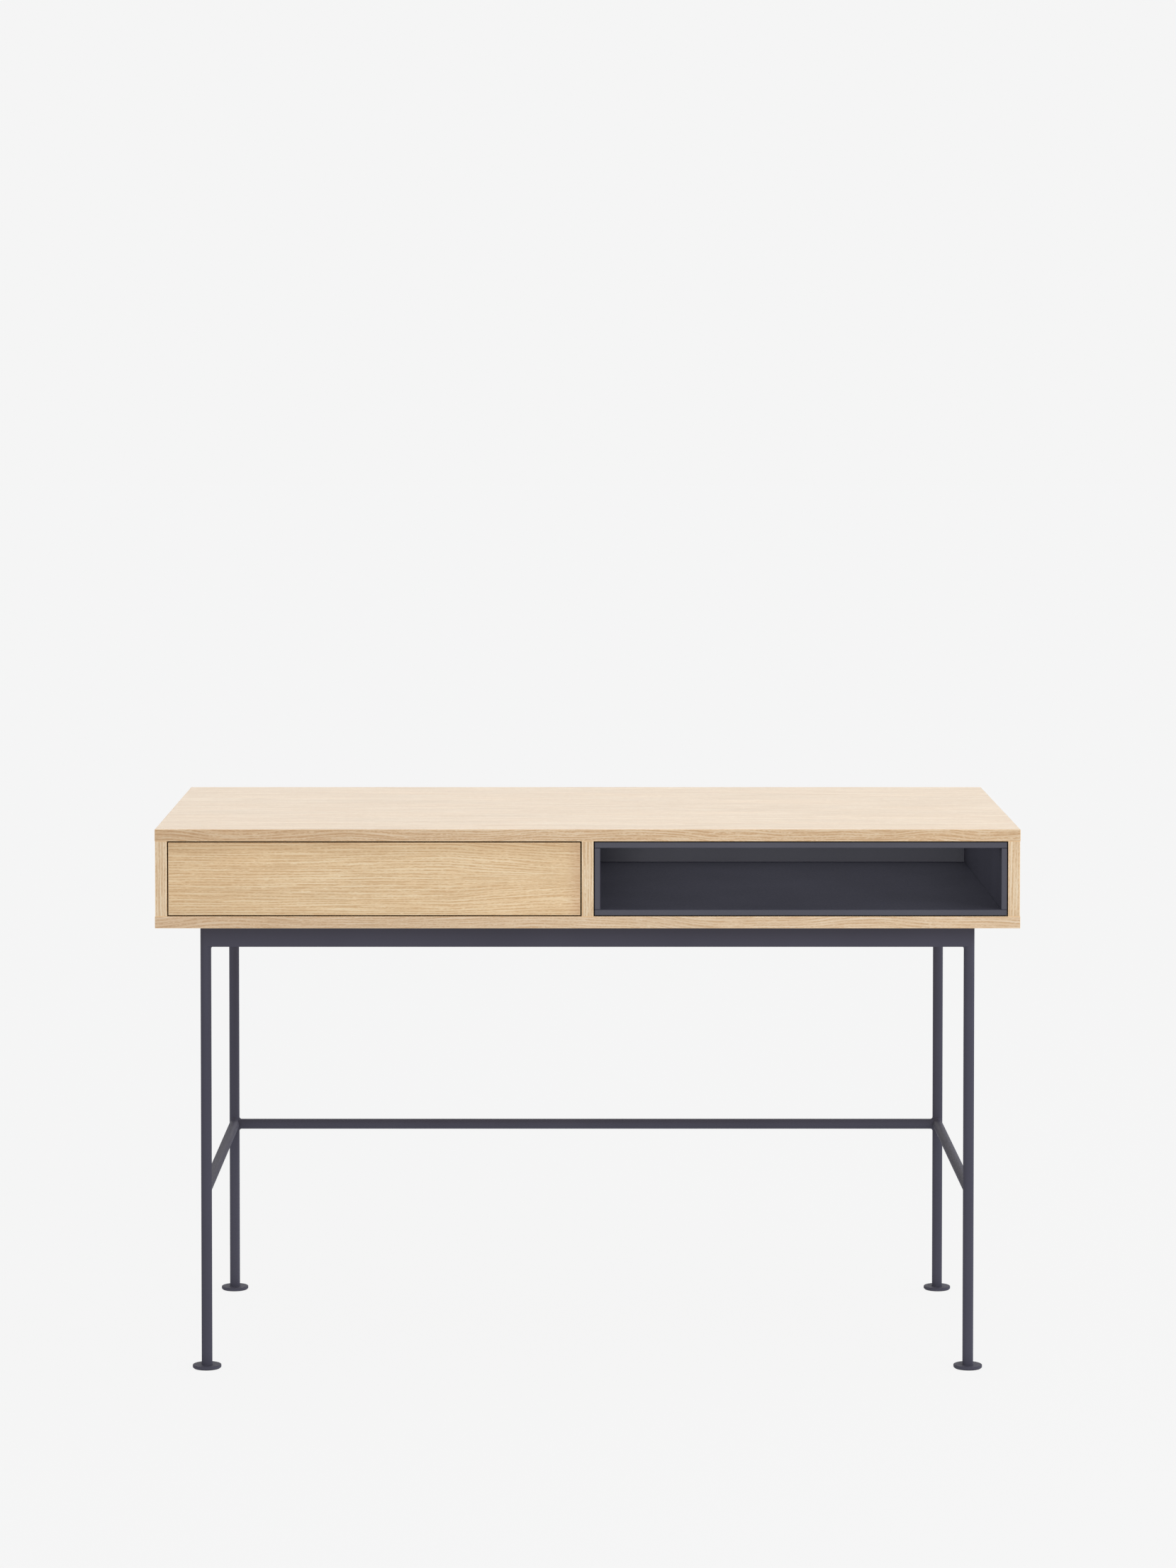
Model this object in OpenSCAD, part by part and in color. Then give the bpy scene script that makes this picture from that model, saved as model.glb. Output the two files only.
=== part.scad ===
// Writing desk: a flat veneered cabinet with a push-to-open drawer in its left bay and a
// painted open niche in its right bay, bolted to a welded frame of slim steel tube.
// X runs along the desk, -Y is the front and +Z is up. The origin is on the floor, under
// the middle of the desk. The drawer is shown closed.

/* [Desk] */
// Overall width
desk_w = 1200; // [1100:10:1400]
// Overall depth
desk_d = 600; // [580:10:680]
// Height of the desktop above the floor
desk_h = 760; // [700:5:800]

/* [Cabinet] */
// Thickness of the veneered boards
board_t = 16.5; // [15:0.5:17]
// Clear height inside the two bays
bay_h = 104.5; // [100:0.5:140]
// Set-back of the side panels from the ends of the top
side_reveal = 0.5; // [0:0.1:2]
// Rounding along the edges of the boards
edge_r = 0.6; // [0.3:0.1:1.5]

/* [Niche liner] */
// Thickness of the painted liner boards
liner_t = 8; // [6:0.5:10]
// Shadow gap between the liner and the cabinet
liner_gap = 1.4; // [1:0.1:3]

/* [Drawer] */
// Gap around the drawer front
front_gap = 1.8; // [1.5:0.1:3]
// Thickness of the four walls of the drawer box
drawer_wall_t = 12; // [10:1:14]
// Height of the drawer box
drawer_box_h = 80; // [60:1:84]
// Thickness of the drawer base
drawer_base_t = 5; // [4:1:6]

/* [Steel frame] */
// Overhang of the top past the frame at each end
end_overhang = 60; // [40:5:120]
// Overhang of the top past the frame at the front and back
front_overhang = 30; // [15:5:60]
// Diameter of the legs and stretchers
tube_d = 15; // [13:1:20]
// Wall thickness of all the tubes
tube_wall = 1.5; // [1:0.5:2]
// Height of the rectangular aprons under the cabinet
apron_h = 30; // [25:5:50]
// Height of the stretchers' centre line above the floor
stretcher_z = 252; // [150:1:400]
// Diameter of the foot discs
foot_d = 40; // [30:1:60]
// Height of a foot disc with its pad
foot_h = 5; // [4:0.5:8]

/* [Hidden] */

$fn = 48;
cut = 1;            // how far a cutting shape runs past the face that it cuts
fit_gap = 0.05;     // clearance around a pin or screw, on the radius

// Colours
oak = [0.85, 0.74, 0.60];
birch = [0.90, 0.82, 0.68];
liner_paint = [0.31, 0.31, 0.35];
frame_paint = [0.28, 0.27, 0.31];
zinc = [0.74, 0.76, 0.78];
brass = [0.80, 0.66, 0.36];
grey_plastic = [0.55, 0.56, 0.58];
black_rubber = [0.10, 0.10, 0.11];

// Cabinet: the faces that the other parts are placed from
front_y = -desk_d / 2;
rear_y = desk_d / 2;
top_z = desk_h - board_t;               // underside of the top panel
floor_z = top_z - bay_h;                // upper face of the bottom panel
base_z = floor_z - board_t;             // underside of the cabinet
side_x = desk_w / 2 - side_reveal;      // outer face of a side panel
bay_x = side_x - board_t;               // inner face of a side panel
div_x = board_t / 2;                    // face of the divider
back_y = rear_y - board_t;              // front face of the back panel

// Dowels of the cabinet, as [x, y] under every upright board
dowel_d = 8;
dowel_in_panel = 11;
dowel_in_upright = 19;
dowel_end_gap = 0.5;
dowel_inset = 50;
upright_rows = [for (k = [0:3]) front_y + dowel_inset + k * (desk_d - 2.5 * dowel_inset) / 3];
back_columns = [for (k = [-3, -1, 1, 3]) k * desk_w / 8];
dowel_spots = concat(
    [for (x = [-side_x + board_t / 2, 0, side_x - board_t / 2], y = upright_rows) [x, y]],
    [for (x = back_columns) [x, rear_y - board_t / 2]]
);

// Niche liner: its outer box
liner_lo = [div_x + liner_gap, front_y, floor_z + liner_gap];
liner_hi = [bay_x - liner_gap, back_y - liner_gap, top_z - liner_gap];
liner_edge_r = 1;
spacer_w = 20;
spacer_inset = 60;

// Drawer slides. Across a slide, u runs from the bay's wall to the drawer box, and
// the heights are measured from the slide's middle.
slide_l = desk_d - 100;
slide_t = 12.7;
slide_setback = 2.5;
drawer_travel = slide_l - 20;
sheet_t = 1.2;
ball_d = 4;
ball_u = 7.5;
cabinet_u = [0, 11];
middle_u = [2.4, 10.4];
drawer_u = [4.9, slide_t];
cabinet_half_h = 22.8;
middle_half_h = 17.4;
drawer_half_h = 12;
lip = 0.9;
lip_u = 1.2;
cage_t = 0.6;
outer_cage_u = [1.5, 10.4];
inner_cage_u = [3.9, 10.4];
outer_ball_h = (cabinet_half_h - sheet_t + middle_half_h) / 2;
inner_ball_h = (middle_half_h - sheet_t + drawer_half_h) / 2;
balls_per_row = 8;
ball_pitch = drawer_travel / 16;
cage_l = balls_per_row * ball_pitch;
cage_y = (slide_l - cage_l) / 2;
cabinet_screw_y = [35, slide_l / 2, slide_l - 40];
drawer_screw_y = [50, slide_l / 2 - 10, slide_l - 60];

// Drawer box: its outer corners
box_clear_z = 8;
box_lo = [-bay_x + slide_t, front_y + board_t, floor_z + box_clear_z];
box_hi = [-div_x - slide_t, box_lo.y + slide_l + 4, box_lo.z + drawer_box_h];
box_mid_x = (box_lo.x + box_hi.x) / 2;
slide_z = (box_lo.z + box_hi.z) / 2;
slide_y = box_lo.y + slide_setback;
groove_depth = 5;
base_height = 8;
drawer_dowel_d = 6;
drawer_dowel_z = [box_lo.z + 26, box_hi.z - 18];
drawer_dowel_in_wall = 8;
drawer_dowel_in_end = 18;
front_screw_l = 22;
front_screw_d = 4;
front_screw_spots = [for (x = [-1, 1], z = [-1, 1])
    [box_mid_x + x * (box_hi.x - box_lo.x) / 3, slide_z + z * drawer_box_h / 5]];

// Push latch behind the drawer
strike_t = 1.5;
strike_w = 24;
strike_gap = 0.3;
latch_axis_z = floor_z + 16;
plunger_d = 9;
magnet_t = 3;
magnet_y = box_hi.y + strike_t + strike_gap;
housing_y = magnet_y + magnet_t + 0.7;
housing_l = 54;
housing_w = 16;
housing_wall = 3;
ear_w = 40;
ear_t = 4;
ear_l = 14;
plunger_l = 38;
spring_y = magnet_y + magnet_t + plunger_l;
spring_l = housing_y + housing_l - housing_wall - spring_y;
spring_turns = 7;
spring_wire = 0.9;
spring_r = plunger_d / 2 - 1;
latch_screw_y = [housing_y + ear_l / 2, housing_y + housing_l - ear_l / 2];
latch_screw_x = ear_w / 2 - 6;

// Steel frame: the leg axes and the tubes
leg_x = desk_w / 2 - end_overhang - tube_d / 2;
leg_y = desk_d / 2 - front_overhang - tube_d / 2;
leg_r = tube_d / 2;
apron_corner_r = 1.5;
apron_z = base_z - apron_h;
weld_r = 3.5;
weld_w = 9;
pad_t = 0.8;
pad_inset = 1.5;
foot_edge_r = 1;

// Fixing of the frame to the cabinet
tab_size = 28;
tab_t = 3;
tab_x = [-0.8, -0.28, 0.28, 0.8] * leg_x;
tab_spots = [for (x = tab_x, s = [-1, 1]) [x, s * (leg_y - leg_r), s]];
bolt_d = 6;
bolt_l = 14;
bolt_head_d = 10.5;
bolt_head_h = 3.3;
hex_key = 4;
insert_d = 10;
insert_l = 12;

// ---- Shared shapes ----

// A plain box between two corners
module block(lo, hi) translate(lo) cube(hi - lo);

// A rectangle with round corners, from the origin to size
module rounded_rect(size, r) {
    translate([r, 0]) square([size.x - 2 * r, size.y]);
    translate([0, r]) square([size.x, size.y - 2 * r]);
    for (x = [r, size.x - r], y = [r, size.y - r])
        translate([x, y]) circle(r, $fn = 24);
}

// A board between two corners, with every edge rounded
module board(lo, hi, r = edge_r) {
    size = hi - lo;
    translate(lo) intersection() {
        linear_extrude(size.z) rounded_rect([size.x, size.y], r);
        translate([0, size.y, 0]) rotate([90, 0, 0])
            linear_extrude(size.y) rounded_rect([size.x, size.z], r);
        rotate([90, 0, 90]) linear_extrude(size.x) rounded_rect([size.y, size.z], r);
    }
}

// A pan-head screw along +Z, with its head below the origin
module pan_screw(d, l, head_d, head_h) {
    cylinder(d = d, h = l);
    difference() {
        translate([0, 0, -head_h]) cylinder(d = head_d, h = head_h);
        translate([0, 0, -head_h - cut]) cross_recess(head_d / 2, head_h / 2 + cut);
    }
}

// The cross-shaped recess in a screw's head
module cross_recess(w, depth) {
    for (a = [0, 90])
        rotate(a) translate([-w / 2, -w / 8, 0]) cube([w, w / 4, depth]);
}

// ---- Cabinet ----

// The shape of one dowel (or, with a gap, of its bore) at every joint of the cabinet
module each_dowel(d, end_gap) {
    for (p = dowel_spots) {
        translate([p.x, p.y, floor_z - dowel_in_panel + end_gap])
            cylinder(d = d, h = dowel_in_panel + dowel_in_upright - 2 * end_gap);
        translate([p.x, p.y, top_z - dowel_in_upright + end_gap])
            cylinder(d = d, h = dowel_in_panel + dowel_in_upright - 2 * end_gap);
    }
}

module dowel_bores() each_dowel(dowel_d + 2 * fit_gap, 0);

module top_panel() color(oak) difference() {
    board([-desk_w / 2, front_y, top_z], [desk_w / 2, rear_y, desk_h]);
    dowel_bores();
}

module bottom_panel() color(oak) difference() {
    board([-desk_w / 2, front_y, base_z], [desk_w / 2, rear_y, floor_z]);
    dowel_bores();
    for (p = tab_spots) bolt_at(p) cylinder(d = insert_d + 2 * fit_gap, h = insert_l + fit_gap);
    latch_screw_shapes(fit_gap);
}

module side_panel(x) color(oak) difference() {
    board([x, front_y, floor_z], [x + board_t, rear_y, top_z]);
    dowel_bores();
    slide_cabinet_screw_shapes(fit_gap);
}

module left_side_panel() side_panel(-side_x);
module right_side_panel() side_panel(bay_x);

module centre_divider() color(oak) difference() {
    board([-div_x, front_y, floor_z], [div_x, back_y, top_z]);
    dowel_bores();
    slide_cabinet_screw_shapes(fit_gap);
}

module back_panel() color(oak) difference() {
    board([-bay_x, back_y, floor_z], [bay_x, rear_y, top_z]);
    dowel_bores();
}

module carcass_dowels() color(birch) each_dowel(dowel_d, dowel_end_gap);

// ---- Niche liner ----

module liner_board(lo, hi) color(liner_paint) board(lo, hi, liner_edge_r);

module liner_top_board() liner_board(
    [liner_lo.x, liner_lo.y, liner_hi.z - liner_t], liner_hi);

module liner_bottom_board() liner_board(
    liner_lo, [liner_hi.x, liner_hi.y, liner_lo.z + liner_t]);

module liner_left_board() liner_board(
    [liner_lo.x, liner_lo.y, liner_lo.z + liner_t],
    [liner_lo.x + liner_t, liner_hi.y, liner_hi.z - liner_t]);

module liner_right_board() liner_board(
    [liner_hi.x - liner_t, liner_lo.y, liner_lo.z + liner_t],
    [liner_hi.x, liner_hi.y, liner_hi.z - liner_t]);

module liner_back_board() liner_board(
    [liner_lo.x + liner_t, liner_hi.y - liner_t, liner_lo.z + liner_t],
    [liner_hi.x - liner_t, liner_hi.y, liner_hi.z - liner_t]);

// Square pads that hold the liner clear of the cabinet on all four sides
module liner_spacers() color(black_rubber) {
    half = spacer_w / 2;
    mid_z = (floor_z + top_z) / 2;
    for (y = [front_y + spacer_inset, back_y - spacer_inset]) {
        for (x = [liner_lo.x + spacer_inset, liner_hi.x - spacer_inset]) {
            block([x - half, y - half, floor_z], [x + half, y + half, liner_lo.z]);
            block([x - half, y - half, liner_hi.z], [x + half, y + half, top_z]);
        }
        block([div_x, y - half, mid_z - half], [liner_lo.x, y + half, mid_z + half]);
        block([liner_hi.x, y - half, mid_z - half], [bay_x, y + half, mid_z + half]);
    }
}

// ---- Drawer ----

module drawer_front() color(oak) difference() {
    board([-bay_x + front_gap, front_y, floor_z + front_gap],
        [-div_x - front_gap, front_y + board_t, top_z - front_gap]);
    front_screw_shapes(fit_gap);
}

// Where the drawer base sits, with room around it for the groove
module base_plate(gap) block(
    [box_lo.x + drawer_wall_t - groove_depth, box_lo.y + drawer_wall_t - groove_depth,
        box_lo.z + base_height] - [gap, gap, gap],
    [box_hi.x - drawer_wall_t + groove_depth, box_hi.y - drawer_wall_t + groove_depth,
        box_lo.z + base_height + drawer_base_t] + [gap, gap, gap]);

// The dowels, or bores, that join the ends of the drawer box to its side walls
module drawer_dowel_shapes(gap, end_gap) {
    l = drawer_dowel_in_wall + drawer_dowel_in_end - 2 * end_gap;
    for (y = [box_lo.y + drawer_wall_t / 2, box_hi.y - drawer_wall_t / 2], z = drawer_dowel_z) {
        translate([box_lo.x + drawer_wall_t - drawer_dowel_in_wall + end_gap, y, z])
            rotate([0, 90, 0]) cylinder(d = drawer_dowel_d + 2 * gap, h = l);
        translate([box_hi.x - drawer_wall_t - drawer_dowel_in_end + end_gap, y, z])
            rotate([0, 90, 0]) cylinder(d = drawer_dowel_d + 2 * gap, h = l);
    }
}

// The screws, or bores, that hold the drawer front to its box
module front_screw_shapes(gap) {
    for (p = front_screw_spots)
        translate([p.x, box_lo.y + drawer_wall_t, p.y]) rotate([90, 0, 0])
            cylinder(d = front_screw_d + 2 * gap, h = front_screw_l + gap);
}

module drawer_side_wall(x) color(birch) difference() {
    board([x, box_lo.y, box_lo.z], [x + drawer_wall_t, box_hi.y, box_hi.z]);
    base_plate(fit_gap);
    drawer_dowel_shapes(fit_gap, 0);
    slide_drawer_screw_shapes(fit_gap);
}

module drawer_left_wall() drawer_side_wall(box_lo.x);
module drawer_right_wall() drawer_side_wall(box_hi.x - drawer_wall_t);

module drawer_end_wall(y) color(birch) difference() {
    board([box_lo.x + drawer_wall_t, y, box_lo.z],
        [box_hi.x - drawer_wall_t, y + drawer_wall_t, box_hi.z]);
    base_plate(fit_gap);
    drawer_dowel_shapes(fit_gap, 0);
    front_screw_shapes(fit_gap);
}

module drawer_box_front() drawer_end_wall(box_lo.y);
module drawer_back_wall() drawer_end_wall(box_hi.y - drawer_wall_t);

module drawer_base() color(birch) base_plate(0);

module drawer_dowels() color(birch) drawer_dowel_shapes(0, dowel_end_gap);

module drawer_front_screws() color(zinc) for (p = front_screw_spots)
    translate([p.x, box_lo.y + drawer_wall_t, p.y]) rotate([90, 0, 0])
        pan_screw(front_screw_d, front_screw_l, 2 * front_screw_d, 2.4);

// ---- Drawer slides ----

// Puts a slide's own frame (u across, y back, height) on the left or right wall of the bay
module on_wall(side) {
    if (side == "left") translate([-bay_x, slide_y, slide_z]) children();
    else translate([-div_x, slide_y, slide_z]) mirror([1, 0, 0]) children();
}

// A rolled channel whose web is at the wall side, with small lips that keep the balls in
module wall_channel(u, half_h, outer_lip, inner_lip) {
    difference() {
        block([u[0], 0, -half_h], [u[1], slide_l, half_h]);
        block([u[0] + sheet_t, -cut, sheet_t - half_h], [u[1] + cut, slide_l + cut, half_h - sheet_t]);
    }
    for (s = [-1, 1]) {
        if (inner_lip) channel_lip(u[1] - lip_u, s * (half_h - sheet_t), -s);
        if (outer_lip) channel_lip(u[1] - lip_u, s * half_h, s);
    }
}

// One lip along a flange's free edge, standing towards s
module channel_lip(u, h, s) {
    low = min(h, h + s * lip);
    block([u, 0, low], [u + lip_u, slide_l, low + lip]);
}

module cabinet_member(side) color(zinc) difference() {
    on_wall(side) wall_channel(cabinet_u, cabinet_half_h, false, true);
    slide_cabinet_screw_shapes(fit_gap);
}

module middle_member(side) color(zinc)
    on_wall(side) wall_channel(middle_u, middle_half_h, false, false);

module drawer_member(side) color(zinc) difference() {
    on_wall(side) difference() {
        block([drawer_u[0], 0, -drawer_half_h], [drawer_u[1], slide_l, drawer_half_h]);
        block([drawer_u[0] - cut, -cut, sheet_t - drawer_half_h],
            [drawer_u[1] - sheet_t, slide_l + cut, drawer_half_h - sheet_t]);
    }
    slide_drawer_screw_shapes(fit_gap);
}

// A pressed cage with a loose ball in each of its holes
module ball_cage(side, u, ball_h) color(zinc) on_wall(side) translate([0, cage_y, 0]) {
    ball_y = [for (k = [0 : balls_per_row - 1]) (k + 0.5) * ball_pitch];
    half_h = ball_h + cage_t / 2;
    difference() {
        block([u[0], 0, -half_h], [u[1], cage_l, half_h]);
        block([u[0] + cage_t, -cut, cage_t - half_h], [u[1] + cut, cage_l + cut, half_h - cage_t]);
        for (y = ball_y)
            translate([ball_u, y, -half_h - cut]) cylinder(d = ball_d + 0.2, h = 2 * (half_h + cut));
    }
    for (y = ball_y, s = [-1, 1])
        translate([ball_u, y, s * ball_h]) sphere(d = ball_d, $fn = 24);
}

module left_slide_cabinet_member() cabinet_member("left");
module right_slide_cabinet_member() cabinet_member("right");
module left_slide_middle_member() middle_member("left");
module right_slide_middle_member() middle_member("right");
module left_slide_drawer_member() drawer_member("left");
module right_slide_drawer_member() drawer_member("right");
module left_slide_outer_ball_cage() ball_cage("left", outer_cage_u, outer_ball_h);
module right_slide_outer_ball_cage() ball_cage("right", outer_cage_u, outer_ball_h);
module left_slide_inner_ball_cage() ball_cage("left", inner_cage_u, inner_ball_h);
module right_slide_inner_ball_cage() ball_cage("right", inner_cage_u, inner_ball_h);

// Countersunk screws, or their seats and bores, flush with the cabinet member's web
slide_screw_d = 3.5;
slide_screw_head_d = 7;
slide_screw_l = 11;
module slide_cabinet_screw_shapes(gap) {
    head_h = (slide_screw_head_d - slide_screw_d) / 2;
    for (side = ["left", "right"], y = cabinet_screw_y)
        on_wall(side) translate([sheet_t, y, 0]) rotate([0, -90, 0]) {
            cylinder(d1 = slide_screw_head_d + 2 * gap, d2 = slide_screw_d + 2 * gap, h = head_h);
            cylinder(d = slide_screw_d + 2 * gap, h = slide_screw_l + gap);
        }
}

module slide_cabinet_screws() color(zinc) difference() {
    slide_cabinet_screw_shapes(0);
    for (side = ["left", "right"], y = cabinet_screw_y)
        on_wall(side) translate([sheet_t + cut, y, 0]) rotate([0, -90, 0]) cross_recess(4, 0.7 + cut);
}

// Pan-head screws, or their bores, through the drawer member's web
drawer_screw_l = 10;
module slide_drawer_screw_shapes(gap) {
    for (side = ["left", "right"], y = drawer_screw_y)
        on_wall(side) translate([drawer_u[1] - sheet_t, y, 0]) rotate([0, 90, 0])
            cylinder(d = slide_screw_d + 2 * gap, h = drawer_screw_l + gap);
}

module slide_drawer_screws() color(zinc)
    for (side = ["left", "right"], y = drawer_screw_y)
        on_wall(side) translate([drawer_u[1] - sheet_t, y, 0]) rotate([0, 90, 0])
            pan_screw(slide_screw_d, drawer_screw_l, 6.5, 2);

// ---- Push latch ----

module push_latch_housing() color(grey_plastic) difference() {
    union() {
        board([box_mid_x - housing_w / 2, housing_y, floor_z],
            [box_mid_x + housing_w / 2, housing_y + housing_l, latch_axis_z + housing_w / 2], 1);
        for (y = [housing_y, housing_y + housing_l - ear_l])
            block([box_mid_x - ear_w / 2, y, floor_z], [box_mid_x + ear_w / 2, y + ear_l, floor_z + ear_t]);
    }
    translate([box_mid_x, housing_y - cut, latch_axis_z]) rotate([-90, 0, 0])
        cylinder(d = plunger_d + 2 * fit_gap, h = housing_l - housing_wall + cut);
    latch_screw_shapes(fit_gap);
}

module push_latch_plunger() color([0.93, 0.93, 0.92])
    translate([box_mid_x, magnet_y + magnet_t, latch_axis_z]) rotate([-90, 0, 0])
        cylinder(d = plunger_d, h = plunger_l);

module push_latch_magnet() color(black_rubber)
    translate([box_mid_x, magnet_y, latch_axis_z]) rotate([-90, 0, 0])
        cylinder(d = plunger_d, h = magnet_t);

// A round wire coiled along +Z from the origin, as rings of points around a helix
module coil(radius, wire_r, turns, height) {
    steps = 16;
    sides = 8;
    rings = turns * steps;
    rise = (height - 2 * wire_r) / rings;
    points = [for (i = [0 : rings], j = [0 : sides - 1])
        let (a = 360 * i / steps, b = 360 * j / sides, r = radius + wire_r * cos(b))
        [r * cos(a), r * sin(a), wire_r + i * rise + wire_r * sin(b)]];
    walls = [for (i = [0 : rings - 1], j = [0 : sides - 1])
        let (p = i * sides + j, q = i * sides + (j + 1) % sides)
        each [[p, q, p + sides], [q, q + sides, p + sides]]];
    start_cap = [for (j = [sides - 1 : -1 : 0]) j];
    end_cap = [for (j = [0 : sides - 1]) rings * sides + j];
    polyhedron(points, concat([start_cap, end_cap], walls), convexity = 10);
}

// The return spring, held compressed between the plunger and the end of the housing
module push_latch_spring() color(zinc)
    translate([box_mid_x, spring_y, latch_axis_z]) rotate([-90, 0, 0])
        coil(spring_r, spring_wire / 2, spring_turns, spring_l);

// Screws, or their bores, that hold the latch down to the bottom panel
latch_screw_d = 3.2;
latch_screw_l = 14;
module latch_screw_shapes(gap) {
    for (x = [-latch_screw_x, latch_screw_x], y = latch_screw_y)
        translate([box_mid_x + x, y, floor_z + ear_t]) mirror([0, 0, 1])
            cylinder(d = latch_screw_d + 2 * gap, h = latch_screw_l + gap);
}

module push_latch_screws() color(zinc)
    for (x = [-latch_screw_x, latch_screw_x], y = latch_screw_y)
        translate([box_mid_x + x, y, floor_z + ear_t]) mirror([0, 0, 1])
            pan_screw(latch_screw_d, latch_screw_l, 6, 2);

module latch_strike_plate() color(zinc) board(
    [box_mid_x - strike_w / 2, box_hi.y, latch_axis_z - plunger_d / 2 - 3],
    [box_mid_x + strike_w / 2, box_hi.y + strike_t, latch_axis_z + strike_w / 2 + 3], 0.4);

// ---- Steel frame ----

// One upright leg tube, from its foot disc to the cabinet
module leg(sx, sy) color(frame_paint) translate([sx * leg_x, sy * leg_y, foot_h]) difference() {
    cylinder(d = tube_d, h = base_z - foot_h);
    translate([0, 0, -cut]) cylinder(d = tube_d - 2 * tube_wall, h = base_z - foot_h + 2 * cut);
}

module front_left_leg() leg(-1, -1);
module front_right_leg() leg(1, -1);
module rear_left_leg() leg(-1, 1);
module rear_right_leg() leg(1, 1);

// The outside of all four legs, to cope the tubes that meet them
module leg_cutters() {
    for (sx = [-1, 1], sy = [-1, 1])
        translate([sx * leg_x, sy * leg_y, 0]) cylinder(d = tube_d, h = desk_h);
}

// The section of an apron, or of the space inside it
module apron_section(wall) translate([-leg_r + wall, wall])
    rounded_rect([tube_d - 2 * wall, apron_h - 2 * wall], max(apron_corner_r - wall, 0.3));

// A long apron along X, still square at its ends
module long_apron_bar(sy, wall = 0) translate([-leg_x, sy * leg_y, apron_z])
    rotate([90, 0, 90]) linear_extrude(2 * leg_x) apron_section(wall);

module long_apron(sy) color(frame_paint) difference() {
    long_apron_bar(sy);
    long_apron_bar(sy, tube_wall);
    leg_cutters();
}

// A short apron along Y, that butts against the long ones
module short_apron_bar(sx, wall) translate([sx * leg_x, leg_y, apron_z])
    rotate([90, 0, 0]) linear_extrude(2 * leg_y) apron_section(wall);

module short_apron(sx) color(frame_paint) difference() {
    short_apron_bar(sx, 0);
    short_apron_bar(sx, tube_wall);
    leg_cutters();
    for (sy = [-1, 1]) long_apron_bar(sy);
}

module front_apron() long_apron(-1);
module rear_apron() long_apron(1);
module left_apron() short_apron(-1);
module right_apron() short_apron(1);

// The rear stretcher's outside, which the side stretchers are coped to
module rear_stretcher_bar(d) translate([-leg_x, leg_y, stretcher_z]) rotate([0, 90, 0])
    cylinder(d = d, h = 2 * leg_x);

module rear_stretcher() color(frame_paint) difference() {
    rear_stretcher_bar(tube_d);
    rear_stretcher_bar(tube_d - 2 * tube_wall);
    leg_cutters();
}

module side_stretcher_bar(sx, d) translate([sx * leg_x, -leg_y, stretcher_z]) rotate([-90, 0, 0])
    cylinder(d = d, h = 2 * leg_y);

module side_stretcher(sx) color(frame_paint) difference() {
    side_stretcher_bar(sx, tube_d);
    side_stretcher_bar(sx, tube_d - 2 * tube_wall);
    leg_cutters();
    rear_stretcher_bar(tube_d);
}

module left_stretcher() side_stretcher(-1);
module right_stretcher() side_stretcher(1);

// A small concave weld in the corner under an apron, which leaves the leg along +X
module apron_weld() difference() {
    block([0, -weld_w / 2, -weld_r], [leg_r + weld_r, weld_w / 2, 0]);
    translate([leg_r + weld_r, 0, -weld_r]) rotate([90, 0, 0])
        cylinder(r = weld_r, h = weld_w + 2 * cut, center = true);
    translate([0, 0, -weld_r - cut]) cylinder(d = tube_d, h = weld_r + 2 * cut);
}

// The pair of small concave welds above and below a stretcher, which leaves the leg along +X
module stretcher_weld() difference() {
    intersection() {
        rotate([0, 90, 0]) rotate_extrude() difference() {
            square(leg_r + weld_r);
            translate([leg_r + weld_r, leg_r + weld_r]) circle(weld_r);
        }
        block([0, -weld_w / 2, -tube_d], [tube_d, weld_w / 2, tube_d]);
    }
    rotate([0, 90, 0]) cylinder(d = tube_d, h = tube_d);
    translate([0, 0, -tube_d]) cylinder(d = tube_d, h = 2 * tube_d);
}

module frame_welds() color(frame_paint) for (sx = [-1, 1], sy = [-1, 1])
    translate([sx * leg_x, sy * leg_y, 0]) {
        along_x = sx > 0 ? 180 : 0;
        along_y = -90 * sy;
        for (a = [along_x, along_y]) translate([0, 0, apron_z]) rotate(a) apron_weld();
        translate([0, 0, stretcher_z]) rotate(along_y) stretcher_weld();
        if (sy > 0) translate([0, 0, stretcher_z]) rotate(along_x) stretcher_weld();
    }

// One steel foot disc, on top of its pad
module foot(sx, sy) color(frame_paint) translate([sx * leg_x, sy * leg_y, pad_t])
    rotate_extrude() {
        square([foot_d / 2 - foot_edge_r, foot_h - pad_t]);
        translate([0, foot_edge_r]) square([foot_d / 2, foot_h - pad_t - 2 * foot_edge_r]);
        for (h = [foot_edge_r, foot_h - pad_t - foot_edge_r])
            translate([foot_d / 2 - foot_edge_r, h]) circle(foot_edge_r, $fn = 24);
    }

module front_left_foot() foot(-1, -1);
module front_right_foot() foot(1, -1);
module rear_left_foot() foot(-1, 1);
module rear_right_foot() foot(1, 1);

module foot_pads() color(black_rubber) for (sx = [-1, 1], sy = [-1, 1])
    translate([sx * leg_x, sy * leg_y, 0]) cylinder(d = foot_d - 2 * pad_inset, h = pad_t);

// ---- Fixing of the frame ----

// The spot under the cabinet where a bolt goes up through its tab
module bolt_at(p) translate([p.x, p.y - p[2] * tab_size / 2, base_z]) children();

module frame_mounting_tabs() color(frame_paint) for (p = tab_spots) difference() {
    bolt_at(p) translate([-tab_size / 2, -tab_size / 2, -tab_t]) cube([tab_size, tab_size, tab_t]);
    bolt_at(p) translate([0, 0, -tab_t - cut]) cylinder(d = bolt_d + 0.6, h = tab_t + 2 * cut);
}

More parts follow.
